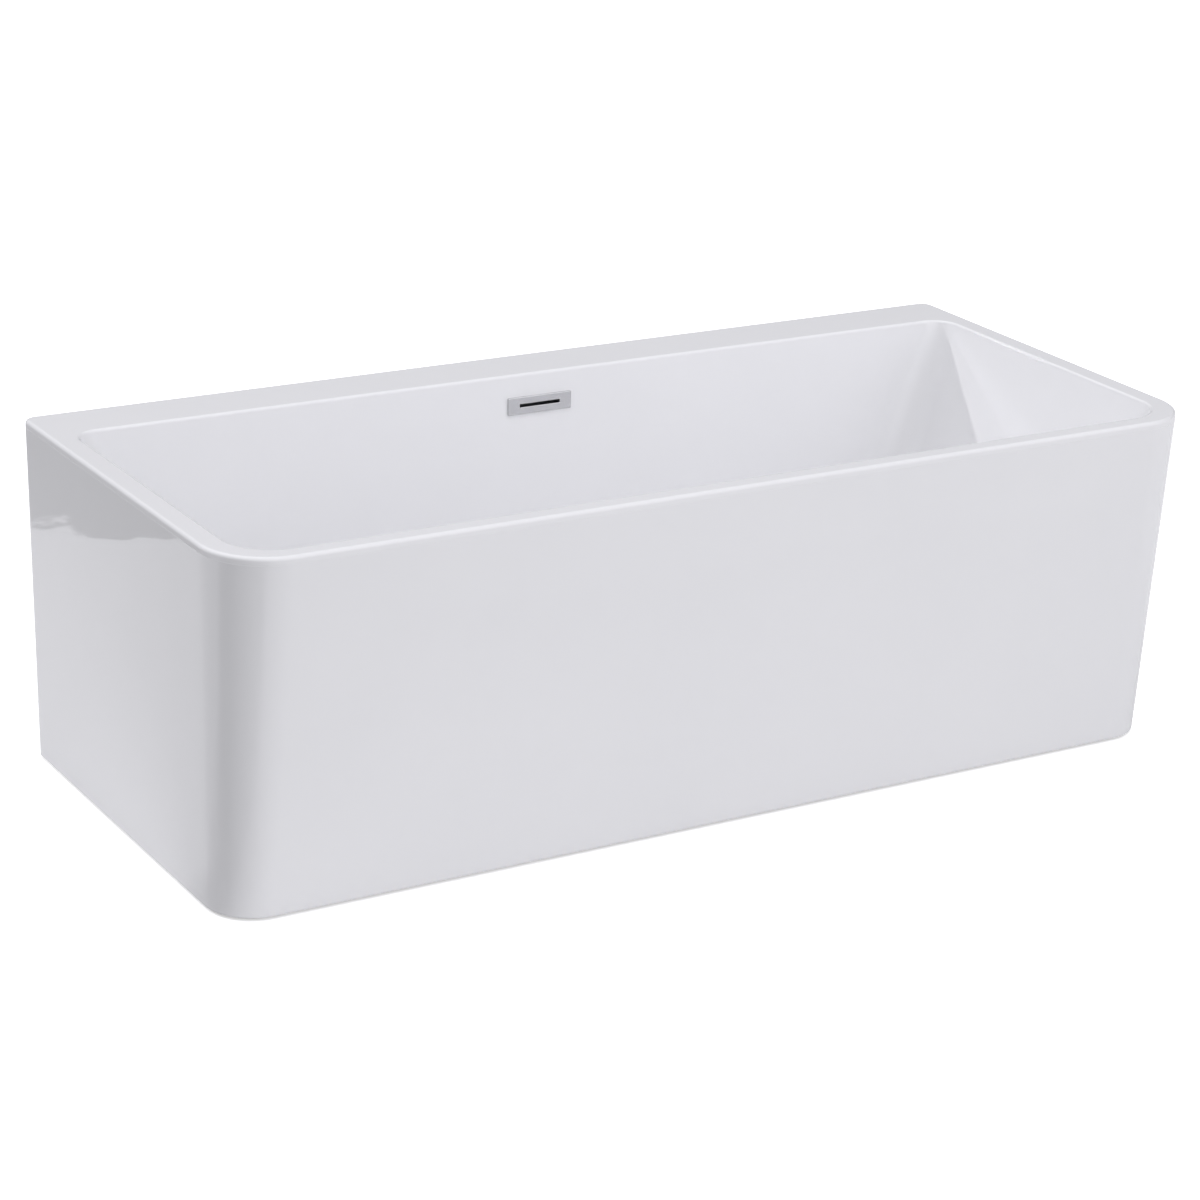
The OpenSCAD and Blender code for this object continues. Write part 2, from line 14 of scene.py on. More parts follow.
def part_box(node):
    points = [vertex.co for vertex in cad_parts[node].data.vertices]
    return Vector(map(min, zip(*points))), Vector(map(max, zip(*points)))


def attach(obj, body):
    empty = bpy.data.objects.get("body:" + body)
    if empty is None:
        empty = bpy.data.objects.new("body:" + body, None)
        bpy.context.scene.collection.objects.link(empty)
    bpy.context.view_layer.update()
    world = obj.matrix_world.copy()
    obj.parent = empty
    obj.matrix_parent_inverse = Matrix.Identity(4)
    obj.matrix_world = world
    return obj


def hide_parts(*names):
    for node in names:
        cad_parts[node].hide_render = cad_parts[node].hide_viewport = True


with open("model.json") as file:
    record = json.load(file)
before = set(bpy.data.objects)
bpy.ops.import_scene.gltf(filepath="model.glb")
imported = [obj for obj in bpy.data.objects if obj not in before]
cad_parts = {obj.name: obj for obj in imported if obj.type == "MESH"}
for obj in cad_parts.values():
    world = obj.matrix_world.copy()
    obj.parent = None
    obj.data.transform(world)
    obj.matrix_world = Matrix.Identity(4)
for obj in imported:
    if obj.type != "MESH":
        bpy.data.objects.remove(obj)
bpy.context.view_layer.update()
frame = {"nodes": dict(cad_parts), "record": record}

MM = 0.001


def millimetres(node):
    """A CAD node's lowest and highest corners, in millimetres."""
    low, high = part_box(node)
    return Vector(low) / MM, Vector(high) / MM


# ---- Dimensions, read from the frame where it holds them ----

shell_low, shell_high = millimetres("inner_shell")
skirt_low, skirt_high = millimetres("outer_skirt")
flange_high = millimetres("waste_flange")[1]
cover_low, cover_high = millimetres("overflow_cover")

HALF_X = shell_high.x
HALF_Y = shell_high.y
RIM_Z = shell_high.z
UNDER_Z = shell_low.z
FLOOR_GAP = skirt_low.z
RIM_UNDER_Z = skirt_high.z

# Body outline, as in the CAD model
FRONT_CORNER_R = 100
FRONT_CORNER_SHRINK = 25
BACK_CORNER_R = 20
END_TAPER = 12
FRONT_TAPER = 37
LIP_H = 12
LIP_Z = RIM_Z - LIP_H
RIM_EDGE_R = 6
BASIN_EDGE_R = 5
SHELL_T = RIM_Z - RIM_UNDER_Z
BROKEN_EDGE = 0.3

# Basin
END_RIM = 32
FRONT_RIM = 28
DECK = 100
FLOOR_Z = 116
FLOOR_FALL = 4
BACKREST_RUN = 190
WALL_RUN = 26
FOOT_FILLET = 60
WALL_X = HALF_X - END_RIM - BASIN_EDGE_R
WALL_FRONT = -HALF_Y + FRONT_RIM + BASIN_EDGE_R
WALL_BACK = HALF_Y - DECK - BASIN_EDGE_R
DEPTH = RIM_Z - FLOOR_Z
RIM_FRONT_R, RIM_BACK_R = 73, 40
FOOT_FRONT_R, FOOT_BACK_R = 115, 100
WASTE_Z = FLOOR_Z - FLOOR_FALL
SEAT_Z = WASTE_Z - 2
RECESS_R = flange_high.x + 1
RECESS_LIP_R, RECESS_LIP_H = 1.2, 0.8
RECESS_DRAFT = 0.2
WASTE_HOLE_R = 24.6
OVERFLOW_HOLE_W, OVERFLOW_HOLE_H = 90, 14

# Skirt
SKIRT_T = 5
JOGGLE_H = 8
FLANGE_W = 20
BACK_RETURN = 80
BACK_STRIP = 30
SKIRT_FOOT_R = 1.5
MIN_CORNER_R = 2

# How finely the shells are divided
CORNER_STEPS = 28
FILLET_STEPS = 18
WALL_STEPS = 16
EDGE_STEPS = 6
SMALL_EDGE_STEPS = 4
FLOOR_STEPS = 14
SKIRT_STEPS = 8


# ---- Mesh helpers ----

def piece_object(name, mesh):
    """A new object that holds the mesh."""
    thing = bpy.data.objects.new(name, mesh)
    bpy.context.scene.collection.objects.link(thing)
    return thing


def build(name, points, faces):
    """A mesh object from points in millimetres, with its normals facing out."""
    mesh = bpy.data.meshes.new(name)
    mesh.from_pydata([Vector(p) * MM for p in points], [], faces)
    work = bmesh.new()
    work.from_mesh(mesh)
    bmesh.ops.recalc_face_normals(work, faces=work.faces)
    work.to_mesh(mesh)
    work.free()
    return piece_object(name, mesh)


def apply_modifiers(thing):
    """Replaces the mesh by what its modifiers make of it."""
    bpy.context.view_layer.update()
    graph = bpy.context.evaluated_depsgraph_get()
    mesh = bpy.data.meshes.new_from_object(thing.evaluated_get(graph))
    thing.modifiers.clear()
    thing.data = mesh


def cut_away(thing, cutter):
    """Subtracts the cutter, which is then deleted."""
    modifier = thing.modifiers.new("cut", "BOOLEAN")
    modifier.operation = "DIFFERENCE"
    modifier.solver = "EXACT"
    modifier.object = cutter
    apply_modifiers(thing)
    bpy.data.objects.remove(cutter)


def shade(thing, sharp_angle=35):
    """Smooth shading that keeps flat faces flat and edges past an angle crisp."""
    mesh = thing.data
    mesh.shade_smooth()
    work = bmesh.new()
    work.from_mesh(mesh)
    limit = math.radians(sharp_angle)
    for edge in work.edges:
        edge.smooth = len(edge.link_faces) == 2 and edge.calc_face_angle(0) < limit
    work.to_mesh(mesh)
    work.free()
    modifier = thing.modifiers.new("weighted normals", "WEIGHTED_NORMAL")
    modifier.keep_sharp = True
    modifier.weight = 100
    apply_modifiers(thing)


def finished(thing, material, sharp_angle=35):
    """The piece with its one material and its smooth shading."""
    thing.data.materials.append(material)
    shade(thing, sharp_angle)
    return thing


def block(name, low, high):
    """A box as a mesh, used as a cutter."""
    x, y, z = zip(low, high)
    points = [(x[i], y[j], z[k]) for i in (0, 1) for j in (0, 1) for k in (0, 1)]
    faces = [(0, 1, 3, 2), (4, 6, 7, 5), (0, 4, 5, 1), (2, 3, 7, 6), (0, 2, 6, 4), (1, 5, 7, 3)]
    return build(name, points, faces)


# ---- Outlines and rings, as in the CAD model but finer ----

def corner_arc(x, y, radius, start):
    """A quarter circle round (x, y) from an angle in degrees."""
    angles = [math.radians(start + 90 * i / CORNER_STEPS) for i in range(CORNER_STEPS + 1)]
    return [(x + radius * math.cos(a), y + radius * math.sin(a)) for a in angles]


def outline(x, y0, y1, front_r, back_r):
    """Rectangle with round corners, anticlockwise from its front right corner."""
    return (corner_arc(x - front_r, y0 + front_r, front_r, -90)
            + corner_arc(x - back_r, y1 - back_r, back_r, 0)
            + corner_arc(-x + back_r, y1 - back_r, back_r, 90)
            + corner_arc(-x + front_r, y0 + front_r, front_r, 180))


def at_height(points, z):
    """Plan points lifted to a height."""
    return [(x, y, z) for x, y in points]


def skirt_ring(inset, z):
    """The skirt's outline at a height, moved in by an inset; it tapers only below the lip."""
    drop = max(0.0, 1 - z / LIP_Z)
    return at_height(outline(HALF_X - END_TAPER * drop - inset,
                             -HALF_Y + FRONT_TAPER * drop + inset, HALF_Y - inset,
                             max(FRONT_CORNER_R - FRONT_CORNER_SHRINK * drop - inset, MIN_CORNER_R),
                             max(BACK_CORNER_R - inset, MIN_CORNER_R)), z)


def basin_ring(inset, z, draw_z=None):
    """The basin's wall outline at a height, moved in by an inset and drawn there or at draw_z."""
    drop = (RIM_Z - z) / DEPTH
    front_r = RIM_FRONT_R + (FOOT_FRONT_R - RIM_FRONT_R) * drop
    back_r = RIM_BACK_R + (FOOT_BACK_R - RIM_BACK_R) * drop
    return at_height(outline(WALL_X - BACKREST_RUN * drop - inset,
                             WALL_FRONT + WALL_RUN * drop + inset,
                             WALL_BACK - WALL_RUN * drop - inset,
                             max(front_r - inset, MIN_CORNER_R), max(back_r - inset, MIN_CORNER_R)),
                     z if draw_z is None else draw_z)


def circle_ring(radius, z):
    """A circle round the waste, its points paired with those of an outline."""
    count = 4 * (CORNER_STEPS + 1)
    step = 2 * math.pi / count
    angles = [-math.pi / 2 + (i + 0.5) * step for i in range(count)]
    return [(radius * math.cos(a), radius * math.sin(a), z) for a in angles]


def between(a, b, share):
    """The ring at a share of the way from one ring to another."""
    return [tuple(p + (q - p) * share for p, q in zip(one, two)) for one, two in zip(a, b)]


def quarter(steps, forward=True):
    """Angles over a quarter turn, in radians."""
    angles = [math.pi / 2 * i / steps for i in range(steps + 1)]
    return angles if forward else angles[::-1]


def ring_faces(rings, closed):
    """Quads between neighbouring rings; closed joins the last ring to the first."""
    count = len(rings[0])
    faces = []
    for k in range(len(rings) if closed else len(rings) - 1):
        a, b = k * count, (k + 1) % len(rings) * count
        for i in range(count):
            j = (i + 1) % count
            faces.append((a + i, a + j, b + j, b + i))
    return faces


def ring_solid(name, rings):
    """A closed loop of rings, such as a shell with a hole through its middle."""
    points = [p for ring in rings for p in ring]
    return build(name, points, ring_faces(rings, True))


# ---- Shells ----

def wall_heights(top_z):
    """Heights up a wall, from just above its foot fillet to its top."""
    foot = FLOOR_Z + FOOT_FILLET
    return [foot + (top_z - foot) * i / WALL_STEPS for i in range(1, WALL_STEPS + 1)]


def inner_side():
    """The basin's visible side: waste recess, floor, foot fillet, wall and rim."""
    foot = [basin_ring(FOOT_FILLET * (1 - math.cos(a)), FLOOR_Z + FOOT_FILLET * (1 - math.sin(a)))
            for a in quarter(FILLET_STEPS, False)]
    recess = [circle_ring(WASTE_HOLE_R, SEAT_Z), circle_ring(RECESS_R, SEAT_Z),
              circle_ring(RECESS_R + RECESS_DRAFT, WASTE_Z - RECESS_LIP_H)]
    lip = circle_ring(RECESS_R + RECESS_LIP_R, WASTE_Z)
    floor = [between(lip, foot[0], i / FLOOR_STEPS) for i in range(FLOOR_STEPS)]
    top_z = RIM_Z - BASIN_EDGE_R
    wall = [basin_ring(0, z) for z in wall_heights(top_z)]
    inner_edge = [basin_ring(-BASIN_EDGE_R * (1 - math.cos(a)), top_z,
                             top_z + BASIN_EDGE_R * math.sin(a)) for a in quarter(EDGE_STEPS)[1:]]
    outer_edge = [skirt_ring(RIM_EDGE_R * (1 - math.cos(a)), RIM_Z - RIM_EDGE_R * (1 - math.sin(a)))
                  for a in quarter(EDGE_STEPS, False)]
    return recess + floor + foot + wall + inner_edge + outer_edge


def under_side():
    """The reinforced back of the basin: underside of the rim, wall, fillet and floor."""
    under_rim = skirt_ring(RIM_EDGE_R, RIM_UNDER_Z)
    wall = [basin_ring(-SHELL_T, z) for z in wall_heights(RIM_UNDER_Z)[::-1]]
    foot = [basin_ring(FOOT_FILLET * (1 - math.cos(a)) - SHELL_T * math.cos(a),
                       FLOOR_Z + FOOT_FILLET * (1 - math.sin(a)),
                       FLOOR_Z + FOOT_FILLET * (1 - math.sin(a)) - (FLOOR_Z - UNDER_Z) * math.sin(a))
            for a in quarter(FILLET_STEPS)]
    hole = circle_ring(WASTE_HOLE_R, UNDER_Z)
    return [under_rim] + wall + foot + [between(foot[-1], hole, 0.5), hole]


def lip_side():
    """The rim's outer lip, turned down over the skirt's edge."""
    return [skirt_ring(0, LIP_Z + BROKEN_EDGE), skirt_ring(BROKEN_EDGE, LIP_Z), skirt_ring(RIM_EDGE_R, LIP_Z)]


def overflow_cutter():
    """The hole through the wall behind the overflow cover."""
    half_w, half_h = OVERFLOW_HOLE_W / 2, OVERFLOW_HOLE_H / 2
    before, behind = 12, 30
    middle = (cover_low + cover_high) / 2
    return block("overflow cutter", (-half_w, middle.y - before, middle.z - half_h),
                 (half_w, middle.y + behind, middle.z + half_h))


def make_basin(acrylic, backing):
    """Basin, rim and deck in one shell, with acrylic where it shows and glass fibre behind."""
    front = inner_side() + lip_side()
    basin = ring_solid("basin", front + under_side())
    basin.data.materials.append(acrylic)
    basin.data.materials.append(backing)
    first_back_point = len(front) * len(front[0])
    for face in basin.data.polygons:
        face.material_index = int(min(face.vertices) >= first_back_point)
    cut_away(basin, overflow_cutter())
    shade(basin)
    return basin


def make_skirt(acrylic):
    """Skirt round the front and ends, with its returns on the wall side and its flange under the rim."""
    foot_top, seam = FLOOR_GAP + SKIRT_FOOT_R, LIP_Z - BROKEN_EDGE
    profile = [(SKIRT_T, foot_top),
               (SKIRT_T, LIP_Z - JOGGLE_H - RIM_EDGE_R), (RIM_EDGE_R + SKIRT_T, LIP_Z - JOGGLE_H),
               (RIM_EDGE_R + SKIRT_T, RIM_UNDER_Z - SKIRT_T),
               (RIM_EDGE_R + FLANGE_W, RIM_UNDER_Z - SKIRT_T),
               (RIM_EDGE_R + FLANGE_W, RIM_UNDER_Z), (RIM_EDGE_R, RIM_UNDER_Z), (RIM_EDGE_R, LIP_Z),
               (BROKEN_EDGE, LIP_Z), (0, seam)]
    profile += [(0, seam - (seam - foot_top) * i / SKIRT_STEPS) for i in range(1, SKIRT_STEPS)]
    profile += [(SKIRT_FOOT_R * (1 - math.cos(a)), foot_top - SKIRT_FOOT_R * math.sin(a))
                for a in quarter(SMALL_EDGE_STEPS)]
    profile += [(SKIRT_T - SKIRT_FOOT_R, FLOOR_GAP)]
    skirt = ring_solid("skirt", [skirt_ring(inset, z) for inset, z in profile])
    reach = 50
    opening = block("back opening", (-HALF_X + BACK_RETURN, HALF_Y - reach, -1),
                    (HALF_X - BACK_RETURN, HALF_Y + reach, LIP_Z - BACK_STRIP))
    cut_away(skirt, opening)
    return finished(skirt, acrylic)


# ---- Overflow cover ----

WALL_TILT = math.atan(WALL_RUN / DEPTH)
COVER_T, COVER_POCKET, COVER_EDGE = 4, 2.6, 1.5
COVER_W = cover_high.x - cover_low.x
COVER_H = (cover_high.z - cover_low.z - COVER_T * math.sin(WALL_TILT)) / math.cos(WALL_TILT)
COVER_CORNER_R = 2.5
COVER_EASE, MOUTH_EASE = 1.4, 1.1
SLOT_W, SLOT_H, SLOT_CORNER_R = 74.5, 5.2, 0.8
THROAT_DEPTH = 5
THROAT_T = 0.8


def cover_ring(width, height, radius, depth):
    """Rounded rectangle on the leaning wall, at a depth behind the wall's face."""
    centre_z = (cover_low.z + cover_high.z - COVER_T * math.sin(WALL_TILT)) / 2
    centre_y = WALL_BACK - (RIM_Z - centre_z) * math.tan(WALL_TILT)
    lean = Matrix.Rotation(-WALL_TILT, 4, "X")
    flat = outline(width / 2, -height / 2, height / 2, radius, radius)
    return [tuple(Vector((0, centre_y, centre_z)) + lean @ Vector((x, depth, z))) for x, z in flat]


def grown_ring(width, height, radius, growth, depth):
    """A cover ring grown outwards all round."""
    return cover_ring(width + 2 * growth, height + 2 * growth, max(radius + growth, 0.3), depth)


def make_cover(chrome):
    """Overflow cover: a shallow tray with eased edges and a slot whose rim turns back into the wall."""
    plate, slot = (COVER_W, COVER_H, COVER_CORNER_R), (SLOT_W, SLOT_H, SLOT_CORNER_R)
    eases = [(1 - math.cos(a), 1 - math.sin(a)) for a in quarter(5)]
    outside = [grown_ring(*plate, 0, 0)]
    sides = [grown_ring(*plate, -COVER_EASE * inset, COVER_EASE * rise - COVER_T)
             for inset, rise in eases]
    mouth = [grown_ring(*slot, MOUTH_EASE * inset, MOUTH_EASE * rise - COVER_T)
             for inset, rise in eases[::-1]]
    throat = [grown_ring(*slot, growth, depth)
              for growth, depth in [(0, THROAT_DEPTH), (THROAT_T, THROAT_DEPTH), (THROAT_T, -COVER_POCKET)]]
    tray = [grown_ring(*plate, -COVER_EDGE, depth) for depth in (-COVER_POCKET, 0)]
    return finished(ring_solid("cover", outside + sides + mouth + throat + tray), chrome)


# ---- Feet ----

FEET = [row + side + "_foot" for row in ("front_", "back_", "middle_") for side in ("left", "right")]
PAD_BASE_H, PAD_SEAT_Z = 8, 4
PAD_BOSS_R, PAD_BORE_R = 12, 6.06
PAD_RIBS, PAD_RIB_T = 24, 0.5
PAD_RIM_R, PAD_FILLET_R = 2, 3
STUD_R = 6
HEX_GAP, HEX_H, HEX_R = 1, 8, 9
HEX_CHAMFER_R, HEX_CHAMFER_H = 1, 0.8
THREAD_PITCH, THREAD_DEPTH = 1.75, 0.9
TURN_SIDES = 48


def turned_ring(x, y, z, radius):
    """A ring round an upright axis; radius is a length, or a function of the angle."""
    points = []
    for i in range(TURN_SIDES):
        angle = 2 * math.pi * i / TURN_SIDES
        reach = radius(angle) if callable(radius) else radius
        points.append((x + reach * math.cos(angle), y + reach * math.sin(angle), z))
    return points


def turned(name, node, profile):
    """A solid turned round a node's upright middle, from (radius, height) pairs, capped at both ends."""
    low, high = millimetres(node)
    x, y = (low.x + high.x) / 2, (low.y + high.y) / 2
    rings = [turned_ring(x, y, z, radius) for radius, z in profile]
    last = (len(rings) - 1) * TURN_SIDES
    caps = [tuple(range(TURN_SIDES)), tuple(range(last, last + TURN_SIDES))]
    return build(name, [p for ring in rings for p in ring], ring_faces(rings, False) + caps)


def make_pad(name, node, plastic):
    """Moulded foot pad: soft rim, shallow ribs round its side and a filleted boss with its blind bore."""
    low, high = millimetres(node)
    pad_r = (high.x - low.x) / 2
    base_top = low.z + PAD_BASE_H
    inner_r = pad_r - 2 * PAD_RIB_T

    def ribbed(angle):
        return pad_r - PAD_RIB_T + PAD_RIB_T * math.cos(PAD_RIBS * angle)

    sole = [(pad_r - 8, low.z + 1), (pad_r - 7, low.z), (pad_r - 1.2, low.z), (pad_r - 0.6, low.z + 0.6)]
    ribs = [(ribbed, low.z + 1.4), (ribbed, base_top - PAD_RIM_R - 0.8)]
    rim = [(inner_r - PAD_RIM_R * (1 - math.cos(a)), base_top - PAD_RIM_R * (1 - math.sin(a)))
           for a in quarter(SMALL_EDGE_STEPS)]
    fillet = [(PAD_BOSS_R + PAD_FILLET_R * (1 - math.sin(a)), base_top + PAD_FILLET_R * (1 - math.cos(a)))
              for a in quarter(SMALL_EDGE_STEPS)]
    boss = [(PAD_BOSS_R, high.z - 1), (PAD_BOSS_R - 1, high.z), (PAD_BORE_R + 0.5, high.z),
            (PAD_BORE_R, high.z - 0.5), (PAD_BORE_R, low.z + PAD_SEAT_Z)]
    return finished(turned(name, node, sole + ribs + rim + fillet + boss), plastic)


def hexagon(angle):
    """The spanner hexagon's reach at an angle, with its corners at HEX_R."""
    side = math.radians(60)
    return HEX_R * math.cos(side / 2) / math.cos(angle % side - side / 2)


def make_stud(name, node, steel):
    """Levelling stud: plain end in the pad, chamfered spanner hexagon and threaded shank."""
    low, high = millimetres(node)
    hex_foot = low.z - PAD_SEAT_Z + 2 * PAD_BASE_H + HEX_GAP
    hex_top = hex_foot + HEX_H
    root = STUD_R - THREAD_DEPTH
    lower_end = [(STUD_R - 1, low.z), (STUD_R, low.z + 1), (STUD_R, hex_foot)]
    spanner_hex = [(HEX_R - HEX_CHAMFER_R, hex_foot), (hexagon, hex_foot + HEX_CHAMFER_H),
                   (hexagon, hex_top - HEX_CHAMFER_H), (HEX_R - HEX_CHAMFER_R, hex_top), (root, hex_top)]
    flank_foot, crest_start, crest_end, flank_end = (0.2, THREAD_PITCH * 0.45, THREAD_PITCH * 0.6,
                                                     THREAD_PITCH - 0.05)
    thread = []
    for i in range(int((high.z - 2 - hex_top) / THREAD_PITCH)):
        z = hex_top + i * THREAD_PITCH
        thread += [(root, z + flank_foot), (STUD_R, z + crest_start), (STUD_R, z + crest_end),
                   (root, z + flank_end)]
    tip = [(root, high.z - 1), (root - 0.8, high.z)]
    return finished(turned(name, node, lower_end + spanner_hex + thread + tip), steel, sharp_angle=50)


# ---- Plug cap ----

def make_plug_cap(chrome):
    """Push-to-open cap: a low dome with a rolled edge."""
    low, high = millimetres("plug_cap")
    cap_r = (high.x - low.x) / 2
    edge, rise, steps = 1.2, 1.1, 10
    side = [(cap_r - edge * (1 - math.cos(a)), high.z - rise - edge * (1 - math.sin(a))) for a in quarter(5)]
    shares = [1 - i / steps for i in range(1, steps)]
    dome = [((cap_r - edge) * share, high.z - rise * share ** 2) for share in shares]
    return finished(turned("plug_top", "plug_cap", [(cap_r - edge / 2, low.z)] + side + dome), chrome)


# ---- Materials ----

def new_material(name, roughness=0.5, metallic=0.0, ior=1.5):
    """A material with one Principled shader; returns it with its node tree and shader."""
    material = bpy.data.materials.new(name)
    material.use_nodes = True
    tree = material.node_tree
    shader = tree.nodes["Principled BSDF"]
    shader.inputs["Roughness"].default_value = roughness
    shader.inputs["Metallic"].default_value = metallic
    shader.inputs["IOR"].default_value = ior
    return material, tree, shader


def add(tree, kind, **values):
    """A node of that kind, with its properties and inputs set by name."""
    node = tree.nodes.new(kind)
    for key, value in values.items():
        if key in node.inputs:
            node.inputs[key].default_value = value
        else:
            setattr(node, key, value)
    return node


def place(tree, stretch=(1, 1, 1)):
    """Object coordinates in metres, stretched along the axes."""
    source = add(tree, "ShaderNodeTexCoord")
    mapping = add(tree, "ShaderNodeMapping")
    mapping.inputs["Scale"].default_value = stretch
    tree.links.new(source.outputs["Object"], mapping.inputs["Vector"])
    return mapping.outputs["Vector"]


def noise(tree, vector, scale, detail=3.0, rough=0.55):
    """Cloudy variation from 0 to 1, with scale features to a metre."""
    node = add(tree, "ShaderNodeTexNoise", Scale=scale, Detail=detail, Roughness=rough)
    tree.links.new(vector, node.inputs["Vector"])
    return node.outputs["Fac"]


def ramp(tree, value, stops):
    """Colours at positions along a value."""
    node = add(tree, "ShaderNodeValToRGB")
    while len(node.color_ramp.elements) < len(stops):
        node.color_ramp.elements.new(0.5)
    for element, (position, colour) in zip(node.color_ramp.elements, stops):
        element.position = position
        element.color = (*colour, 1)
    tree.links.new(value, node.inputs["Fac"])
    return node.outputs["Color"]


def spread(tree, value, low, high):
    """Maps 0..1 to low..high."""
    node = add(tree, "ShaderNodeMapRange")
    node.inputs["To Min"].default_value = low
    node.inputs["To Max"].default_value = high
    tree.links.new(value, node.inputs["Value"])
    return node.outputs["Result"]


def bump(tree, shader, height, distance, strength=1.0, base=None):
    """Puts relief on the shader, over another relief if base gives one."""
    node = add(tree, "ShaderNodeBump", Strength=strength, Distance=distance)
    tree.links.new(height, node.inputs["Height"])
    if base is not None:
        tree.links.new(base, node.inputs["Normal"])
    tree.links.new(node.outputs["Normal"], shader.inputs["Normal"])
    return node.outputs["Normal"]


def acrylic_material():
    """Polished white sanitary acrylic: nearly even, with the faint swell of a formed sheet."""
    material, tree, shader = new_material("white acrylic", 0.1, ior=1.49)
    vector = place(tree)
    cloud = noise(tree, vector, 3.0, 2.0)
    tint = ramp(tree, cloud, [(0.3, (0.848, 0.85, 0.862)), (0.7, (0.862, 0.863, 0.874))])
    tree.links.new(tint, shader.inputs["Base Color"])
    wear = noise(tree, vector, 38.0, 4.0, 0.6)
    tree.links.new(spread(tree, wear, 0.012, 0.035), shader.inputs["Roughness"])
    swell = bump(tree, shader, noise(tree, vector, 7.0, 1.0), 0.0006, 0.35)
    bump(tree, shader, noise(tree, vector, 260.0, 2.0), 0.00002, 0.3, swell)
    return material


def backing_material():
    """Sprayed glass-fibre backing: matt, with chopped strands showing through the resin."""
    material, tree, shader = new_material("glass fibre backing", 0.55)
    vector = place(tree)
    strands = add(tree, "ShaderNodeTexVoronoi", Scale=90.0, feature="DISTANCE_TO_EDGE")
    tree.links.new(place(tree, (1, 0.35, 1)), strands.inputs["Vector"])
    tint = ramp(tree, noise(tree, vector, 30.0, 5.0, 0.65),
                [(0.3, (0.62, 0.6, 0.53)), (0.55, (0.72, 0.71, 0.65)), (0.75, (0.8, 0.79, 0.75))])
    tree.links.new(tint, shader.inputs["Base Color"])
    tree.links.new(spread(tree, noise(tree, vector, 120.0), 0.4, 0.75), shader.inputs["Roughness"])
    swell = bump(tree, shader, noise(tree, vector, 22.0, 4.0), 0.003, 0.6)
    bump(tree, shader, strands.outputs["Distance"], 0.0008, 0.5, swell)
    return material


def steel_material():
    """Galvanised steel with soft spangle."""
    material, tree, shader = new_material("galvanised steel", 0.4, 1.0)
    vector = place(tree)
    spangle = add(tree, "ShaderNodeTexVoronoi", Scale=110.0)
    tree.links.new(vector, spangle.inputs["Vector"])
    shift = add(tree, "ShaderNodeSeparateColor")
    tree.links.new(spangle.outputs["Color"], shift.inputs["Color"])
    tint = ramp(tree, shift.outputs["Red"], [(0.0, (0.5, 0.52, 0.54)), (1.0, (0.68, 0.7, 0.72))])
    tree.links.new(tint, shader.inputs["Base Color"])
    tree.links.new(spread(tree, shift.outputs["Green"], 0.3, 0.5), shader.inputs["Roughness"])
    bump(tree, shader, noise(tree, vector, 400.0), 0.00005, 0.5)
    return material


def zinc_material():
    """Zinc-plated fasteners with a fine turned grain."""
    material, tree, shader = new_material("zinc plate", 0.3, 1.0)
    vector = place(tree)
    tint = ramp(tree, noise(tree, vector, 150.0), [(0.35, (0.6, 0.6, 0.56)), (0.65, (0.76, 0.76, 0.74))])
    tree.links.new(tint, shader.inputs["Base Color"])
    tree.links.new(spread(tree, noise(tree, vector, 500.0), 0.2, 0.42), shader.inputs["Roughness"])
    bump(tree, shader, noise(tree, place(tree, (1, 1, 8)), 600.0), 0.00004, 0.5)
    return material


def chrome_material():
    """Satin chrome with a fine lengthwise brush."""
    material, tree, shader = new_material("satin chrome", 0.2, 1.0)
    brush = noise(tree, place(tree, (6, 400, 400)), 6.0, 4.0, 0.7)
    tint = ramp(tree, brush, [(0.3, (0.6, 0.6, 0.612)), (0.7, (0.7, 0.7, 0.71))])
    tree.links.new(tint, shader.inputs["Base Color"])
    tree.links.new(spread(tree, brush, 0.16, 0.3), shader.inputs["Roughness"])
    bump(tree, shader, brush, 0.00002, 0.4)
    return material


def board_material():
    """Moisture-resistant chipboard."""
    material, tree, shader = new_material("chipboard", 0.75)
    chips = add(tree, "ShaderNodeTexVoronoi", Scale=260.0)
    tree.links.new(place(tree, (1, 1.6, 1)), chips.inputs["Vector"])
    pick = add(tree, "ShaderNodeSeparateColor")
    tree.links.new(chips.outputs["Color"], pick.inputs["Color"])
    tint = ramp(tree, pick.outputs["Red"], [(0.0, (0.3, 0.23, 0.13)), (0.5, (0.48, 0.38, 0.24)),
                                            (1.0, (0.62, 0.53, 0.36))])
    tree.links.new(tint, shader.inputs["Base Color"])
    tree.links.new(spread(tree, pick.outputs["Green"], 0.6, 0.85), shader.inputs["Roughness"])
    bump(tree, shader, chips.outputs["Distance"], 0.0004, 0.6)
    return material


def timber_material():
    """Planed softwood with lengthwise grain."""
    material, tree, shader = new_material("softwood", 0.6)
    grain = add(tree, "ShaderNodeTexWave", Scale=28.0, Distortion=4.0, Detail=3.0, bands_direction="Z")
    tree.links.new(place(tree, (0.12, 0.12, 1)), grain.inputs["Vector"])
    tint = ramp(tree, grain.outputs["Fac"], [(0.0, (0.46, 0.3, 0.15)), (1.0, (0.68, 0.5, 0.3))])
    tree.links.new(tint, shader.inputs["Base Color"])
    fibre = noise(tree, place(tree, (0.1, 0.1, 1)), 700.0)
    tree.links.new(spread(tree, fibre, 0.5, 0.75), shader.inputs["Roughness"])
    bump(tree, shader, fibre, 0.0002, 0.5)
    return material


